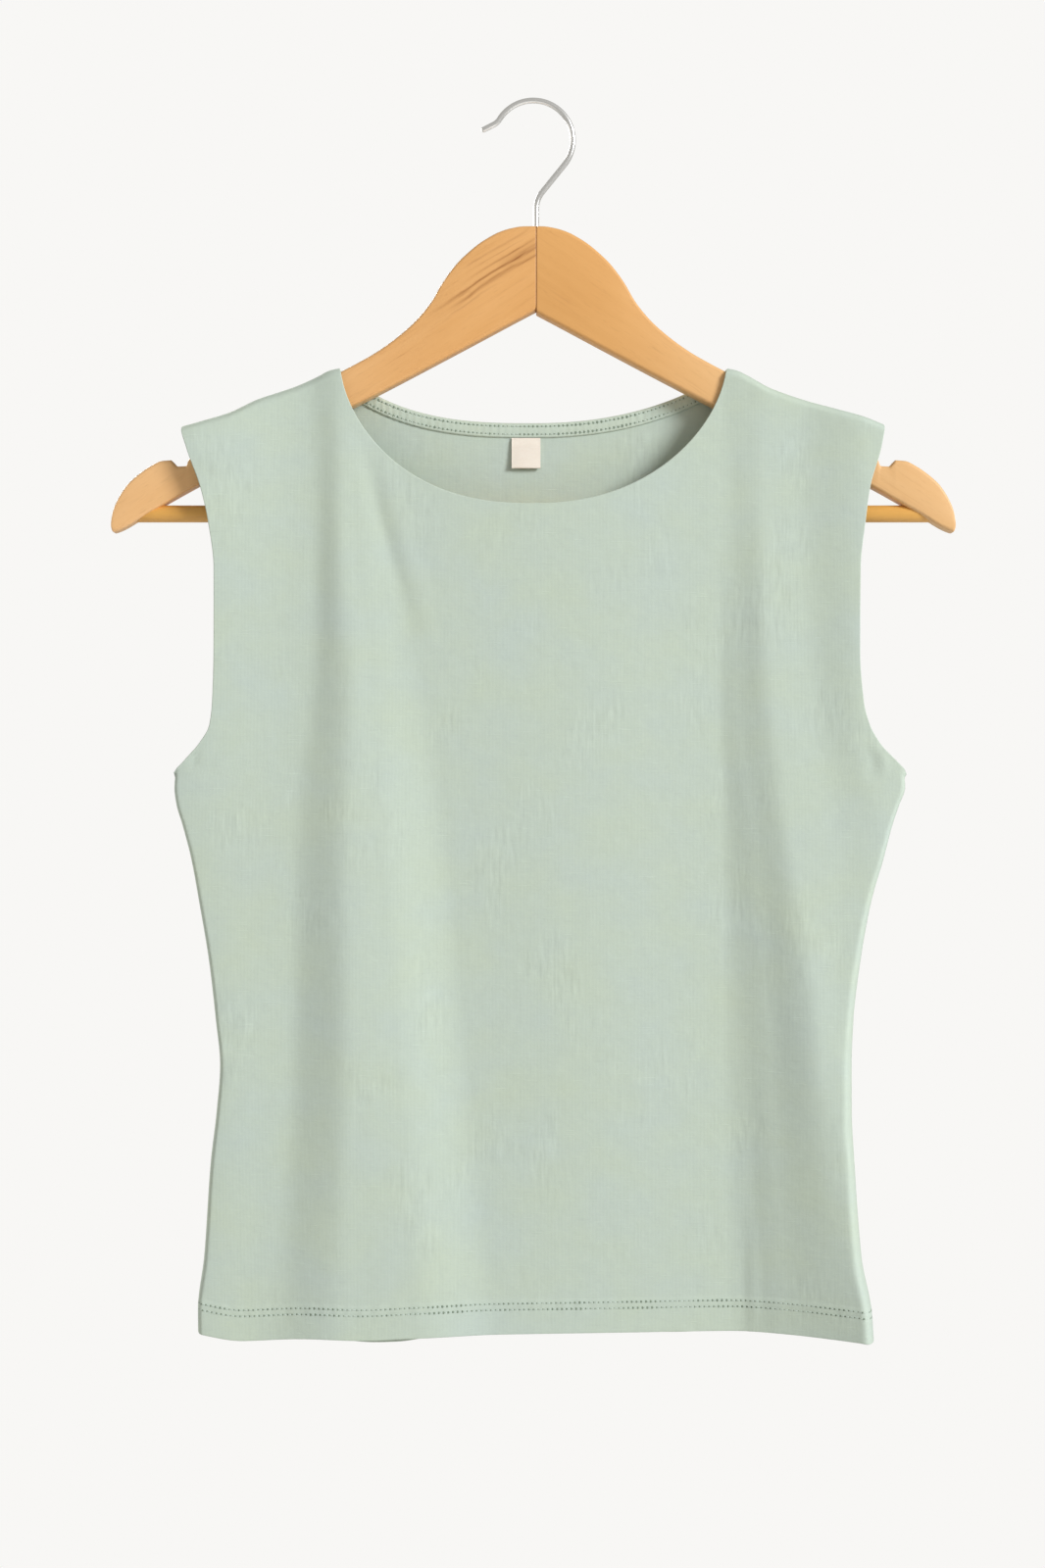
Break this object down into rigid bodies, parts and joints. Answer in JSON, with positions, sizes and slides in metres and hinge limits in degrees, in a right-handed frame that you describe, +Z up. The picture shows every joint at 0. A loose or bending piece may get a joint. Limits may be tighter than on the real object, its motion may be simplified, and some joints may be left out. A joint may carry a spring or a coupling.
{
  "type": "tank top on a wooden hanger",
  "caption": "Fitted sleeveless knit top with a scoop neck, hanging on a wooden clothes hanger with a round bar and a wire hook.",
  "frame": {"origin": "the inside top of the hook, on the middle line of its wire, where a rail carries the hanger", "axes": "+Z up, -Y towards the viewer who faces the front of the top, +X to that viewer's right"},
  "size_m": [0.445, 0.0431, 0.6609],
  "materials": {
    "cloth": "soft matt knit jersey in pale sage green",
    "band_cloth": "the same jersey, turned over the seam and stitched flat",
    "label_tape": "cream woven tape with a slight satin sheen",
    "arm_wood": "pale lacquered hardwood, satin",
    "bar_wood": "pale lacquered hardwood dowel, satin",
    "hook_wire": "bright plated steel wire"
  },
  "bodies": {
    "root": {"front_panel": "cloth", "back_panel": "cloth", "neck_band": "band_cloth", "size_label": "label_tape", "hanger_left_arm": "arm_wood", "hanger_right_arm": "arm_wood", "hanger_bar": "bar_wood", "hanger_hook": "hook_wire"}
  },
  "joints": []
}
